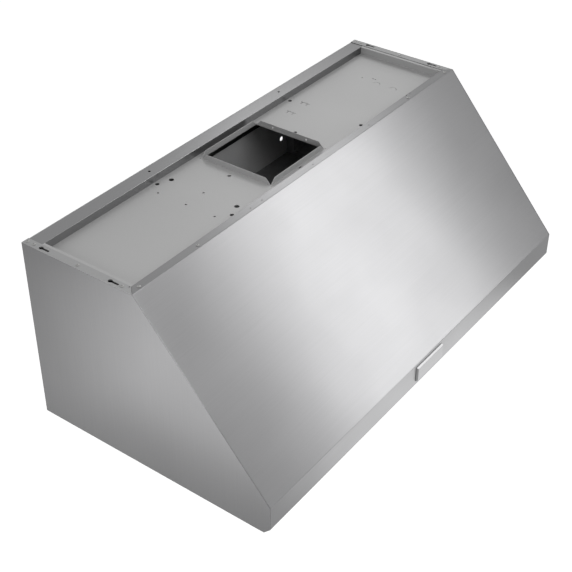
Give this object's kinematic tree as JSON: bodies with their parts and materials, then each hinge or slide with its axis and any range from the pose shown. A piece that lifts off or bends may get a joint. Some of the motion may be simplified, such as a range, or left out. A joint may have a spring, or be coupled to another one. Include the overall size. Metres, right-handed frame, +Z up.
{
  "type": "wall mount range hood",
  "caption": "Wide sloped stainless range hood with a recessed top, rectangular duct collar, twin blowers, hinged baffle filters, lamps, knobs and drop-out grease trays.",
  "frame": {"origin": "middle of the bottom edge of the face that lies on the wall", "axes": "+X along the width, +Y into the wall, +Z up"},
  "size_m": [1.2192, 0.6365, 0.459],
  "materials": {
    "stainless": "brushed stainless sheet, grain along the width",
    "deck_sheet": "plain stainless sheet with a dull mill finish",
    "galvanised": "zinc-coated sheet, dull",
    "screw_steel": "bright plated screw heads",
    "badge": "satin plate with bevelled edges, bare",
    "wheel": "formed blower wheel",
    "motor_black": "black enamelled motor can",
    "shaft_steel": "ground shaft",
    "capacitor": "pale plastic can",
    "switch": "black switch body",
    "knob": "turned metal knob",
    "bezel": "polished ring",
    "lamp_body": "die-cast lamp body",
    "lens": "frosted lens",
    "filter_steel": "brushed stainless baffle"
  },
  "bodies": {
    "hood": {"left_side_panel": "stainless", "right_side_panel": "stainless", "front_panel": "stainless", "rear_panel": "galvanised", "rear_top_rail": "deck_sheet", "top_deck": "deck_sheet", "badge_plate": "badge", "flange_screws": "screw_steel", "plenum_pan": "galvanised", "left_plenum_end": "galvanised", "right_plenum_end": "galvanised", "junction_box": "galvanised", "junction_box_cover": "galvanised", "control_panel": "stainless", "knob_bezels": "bezel", "lamp_housings": "lamp_body", "lamp_lenses": "lens", "lamp_bezels": "bezel", "filter_rear_rail": "stainless", "hinge_ears": "stainless", "tray_hangers": "stainless", "fan_switch": "switch", "light_switch": "switch", "left_blower_scroll": "galvanised", "left_blower_plates": "galvanised", "left_inlet_ring": "galvanised", "left_motor": "motor_black", "left_blower_hanger": "galvanised", "left_capacitor": "capacitor", "right_blower_scroll": "galvanised", "right_blower_plates": "galvanised", "right_inlet_ring": "galvanised", "right_motor": "motor_black", "right_blower_hanger": "galvanised", "right_capacitor": "capacitor"},
    "left_rotor": {"left_impeller": "wheel", "left_motor_shaft": "shaft_steel"},
    "right_rotor": {"right_impeller": "wheel", "right_motor_shaft": "shaft_steel"},
    "fan_control": {"fan_knob": "knob", "fan_spindle": "shaft_steel"},
    "light_control": {"light_knob": "knob", "light_spindle": "shaft_steel"},
    "filter_1": {"filter_1_frame": "filter_steel", "filter_1_baffles": "filter_steel"},
    "filter_1_bolt": {"filter_1_latch": "filter_steel"},
    "filter_2": {"filter_2_frame": "filter_steel", "filter_2_baffles": "filter_steel"},
    "filter_2_bolt": {"filter_2_latch": "filter_steel"},
    "filter_3": {"filter_3_frame": "filter_steel", "filter_3_baffles": "filter_steel"},
    "filter_3_bolt": {"filter_3_latch": "filter_steel"},
    "filter_4": {"filter_4_frame": "filter_steel", "filter_4_baffles": "filter_steel"},
    "filter_4_bolt": {"filter_4_latch": "filter_steel"},
    "left_tray": {"left_grease_tray": "stainless"},
    "right_tray": {"right_grease_tray": "stainless"}
  },
  "joints": [
    {"name": "left_rotor_spin", "type": "hinge", "parent": "hood", "child": "left_rotor", "pos_m": [-0.4504, -0.165, 0.35], "axis": [0, 0, 1], "continuous": true},
    {"name": "right_rotor_spin", "type": "hinge", "parent": "hood", "child": "right_rotor", "pos_m": [0.4504, -0.165, 0.35], "axis": [0, 0, 1], "continuous": true},
    {"name": "fan_knob_turn", "type": "hinge", "parent": "hood", "child": "fan_control", "pos_m": [-0.05, -0.561, 0.02], "axis": [0, 0, -1], "range_deg": [0, 270]},
    {"name": "light_knob_turn", "type": "hinge", "parent": "hood", "child": "light_control", "pos_m": [0.05, -0.561, 0.02], "axis": [0, 0, -1], "range_deg": [0, 270]},
    {"name": "filter_1_swing", "type": "hinge", "parent": "hood", "child": "filter_1", "pos_m": [-0.45067, -0.084, 0.046], "axis": [1, 0, 0], "range_deg": [0, 70]},
    {"name": "filter_1_latch_slide", "type": "slide", "parent": "filter_1", "child": "filter_1_bolt", "axis": [0, 0.9914, -0.1305], "range_m": [0, 0.006], "stiffness_N_per_m": 200, "springref_m": -0.003},
    {"name": "filter_2_swing", "type": "hinge", "parent": "hood", "child": "filter_2", "pos_m": [-0.15022, -0.084, 0.046], "axis": [1, 0, 0], "range_deg": [0, 70]},
    {"name": "filter_2_latch_slide", "type": "slide", "parent": "filter_2", "child": "filter_2_bolt", "axis": [0, 0.9914, -0.1305], "range_m": [0, 0.006], "stiffness_N_per_m": 200, "springref_m": -0.003},
    {"name": "filter_3_swing", "type": "hinge", "parent": "hood", "child": "filter_3", "pos_m": [0.15022, -0.084, 0.046], "axis": [1, 0, 0], "range_deg": [0, 70]},
    {"name": "filter_3_latch_slide", "type": "slide", "parent": "filter_3", "child": "filter_3_bolt", "axis": [0, 0.9914, -0.1305], "range_m": [0, 0.006], "stiffness_N_per_m": 200, "springref_m": -0.003},
    {"name": "filter_4_swing", "type": "hinge", "parent": "hood", "child": "filter_4", "pos_m": [0.45067, -0.084, 0.046], "axis": [1, 0, 0], "range_deg": [0, 70]},
    {"name": "filter_4_latch_slide", "type": "slide", "parent": "filter_4", "child": "filter_4_bolt", "axis": [0, 0.9914, -0.1305], "range_m": [0, 0.006], "stiffness_N_per_m": 200, "springref_m": -0.003},
    {"name": "left_tray_drop", "type": "slide", "parent": "hood", "child": "left_tray", "axis": [0, 0, -1], "range_m": [0, 0.08]},
    {"name": "right_tray_drop", "type": "slide", "parent": "hood", "child": "right_tray", "axis": [0, 0, -1], "range_m": [0, 0.08]}
  ]
}
